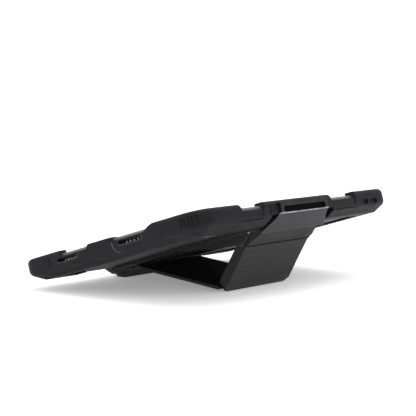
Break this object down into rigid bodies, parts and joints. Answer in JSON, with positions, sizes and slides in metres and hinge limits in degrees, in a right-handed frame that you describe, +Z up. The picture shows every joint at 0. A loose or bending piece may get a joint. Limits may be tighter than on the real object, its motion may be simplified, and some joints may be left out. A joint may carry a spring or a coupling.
{
  "type": "rugged field data collector tablet on a folding stand",
  "caption": "Rugged handheld field computer for survey data, in moulded rubber guards, clipped to a fold-out kickstand that props its screen at a reading angle.",
  "frame": {"origin": "centre of the bounding box on the surface the stand rests on", "axes": "+Z up, +X along the long edge with the key strip, the user sits at -Y, the raised edge is at +Y"},
  "size_m": [0.29, 0.2094, 0.0827],
  "materials": {
    "guard_rubber": "matte moulded",
    "seal_rubber": "matte",
    "case_plastic": "fine spark texture",
    "bezel_plastic": "satin",
    "latch_plastic": "satin",
    "key_plastic": "satin",
    "cover_glass": "polished",
    "lens_glass": "polished",
    "display": "polished",
    "stand_paint": "fine texture powder coat",
    "clip_paint": "fine texture powder coat",
    "leg_paint": "fine texture powder coat",
    "steel": "turned",
    "connector_metal": "stamped",
    "magnesium": "cast",
    "board": "solder mask",
    "battery": "wrapped",
    "ceramic": "fired",
    "camera_body": "matte"
  },
  "bodies": {
    "tablet": {"access_cover": "case_plastic", "access_screws": "steel", "battery_cover": "case_plastic", "battery_pack": "battery", "bezel_gasket": "seal_rubber", "camera_module": "camera_body", "camera_ring": "connector_metal", "camera_window": "lens_glass", "case_screws": "steel", "corner_guard_front_left": "guard_rubber", "corner_guard_front_right": "guard_rubber", "corner_guard_rear_left": "guard_rubber", "corner_guard_rear_right": "guard_rubber", "corner_screws": "steel", "data_port": "connector_metal", "display_panel": "display", "edge_guard_front": "guard_rubber", "edge_guard_rear": "guard_rubber", "flash_lamp": "lens_glass", "foot_pad": "seal_rubber", "front_bezel": "bezel_plastic", "front_camera": "lens_glass", "key_board": "case_plastic", "leg_hinge_pin": "steel", "lower_clip": "stand_paint", "main_board": "board", "mid_frame": "magnesium", "plate_pads": "seal_rubber", "port_door_left_pin": "steel", "port_door_right_pin": "steel", "processor_shield": "connector_metal", "rear_housing": "case_plastic", "satellite_antenna": "ceramic", "side_guard_left": "guard_rubber", "side_guard_right": "guard_rubber", "socket_left_lower": "connector_metal", "socket_left_upper": "connector_metal", "socket_right_lower": "connector_metal", "socket_right_upper": "connector_metal", "speaker": "case_plastic", "stand_plate": "stand_paint", "status_lamps": "lens_glass", "touch_glass": "cover_glass", "upper_clip": "clip_paint", "video_port": "connector_metal"},
    "leg": {"leg_panel": "leg_paint", "fold_pin": "steel", "fold_sleeves": "seal_rubber"},
    "brace": {"brace_panel": "leg_paint", "brace_end_rod": "steel"},
    "key_power": {"key_power": "key_plastic"},
    "key_volume_up": {"key_volume_up": "key_plastic"},
    "key_volume_down": {"key_volume_down": "key_plastic"},
    "key_function_left": {"key_function_left": "key_plastic"},
    "key_function_right": {"key_function_right": "key_plastic"},
    "battery_latch_front": {"battery_latch_front": "latch_plastic"},
    "battery_latch_rear": {"battery_latch_rear": "latch_plastic"},
    "port_door_right": {"port_door_right": "guard_rubber"},
    "port_door_left": {"port_door_left": "guard_rubber"}
  },
  "joints": [
    {"name": "leg_hinge", "type": "hinge", "parent": "tablet", "child": "leg", "pos_m": [0, 0.06969, 0.04412], "axis": [-1, 0, 0], "range_deg": [0, 43]},
    {"name": "brace_fold", "type": "hinge", "parent": "leg", "child": "brace", "pos_m": [0, 0.04636, 0.00285], "axis": [1, 0, 0], "range_deg": [0, 66]},
    {"name": "key_power_press", "type": "slide", "parent": "tablet", "child": "key_power", "axis": [0, 0.2807, -0.9598], "range_m": [0, 0.0006], "stiffness_N_per_m": 900, "springref_m": -0.0003},
    {"name": "key_volume_up_press", "type": "slide", "parent": "tablet", "child": "key_volume_up", "axis": [0, 0.2807, -0.9598], "range_m": [0, 0.0006], "stiffness_N_per_m": 900, "springref_m": -0.0003},
    {"name": "key_volume_down_press", "type": "slide", "parent": "tablet", "child": "key_volume_down", "axis": [0, 0.2807, -0.9598], "range_m": [0, 0.0006], "stiffness_N_per_m": 900, "springref_m": -0.0003},
    {"name": "key_function_left_press", "type": "slide", "parent": "tablet", "child": "key_function_left", "axis": [0, 0.2807, -0.9598], "range_m": [0, 0.0006], "stiffness_N_per_m": 900, "springref_m": -0.0003},
    {"name": "key_function_right_press", "type": "slide", "parent": "tablet", "child": "key_function_right", "axis": [0, 0.2807, -0.9598], "range_m": [0, 0.0006], "stiffness_N_per_m": 900, "springref_m": -0.0003},
    {"name": "battery_latch_front_slide", "type": "slide", "parent": "tablet", "child": "battery_latch_front", "axis": [1, 0, 0], "range_m": [0, 0.005]},
    {"name": "battery_latch_rear_slide", "type": "slide", "parent": "tablet", "child": "battery_latch_rear", "axis": [1, 0, 0], "range_m": [0, 0.005]},
    {"name": "port_door_right_hinge", "type": "hinge", "parent": "tablet", "child": "port_door_right", "pos_m": [0.07275, 0.10058, 0.07065], "axis": [-1, 0, 0], "range_deg": [0, 105]},
    {"name": "port_door_left_hinge", "type": "hinge", "parent": "tablet", "child": "port_door_left", "pos_m": [-0.06525, 0.10058, 0.07065], "axis": [-1, 0, 0], "range_deg": [0, 105]}
  ],
  "couplings": [
    {"joint": "brace_fold", "follows": "leg_hinge", "ratio": 1.5183}
  ]
}
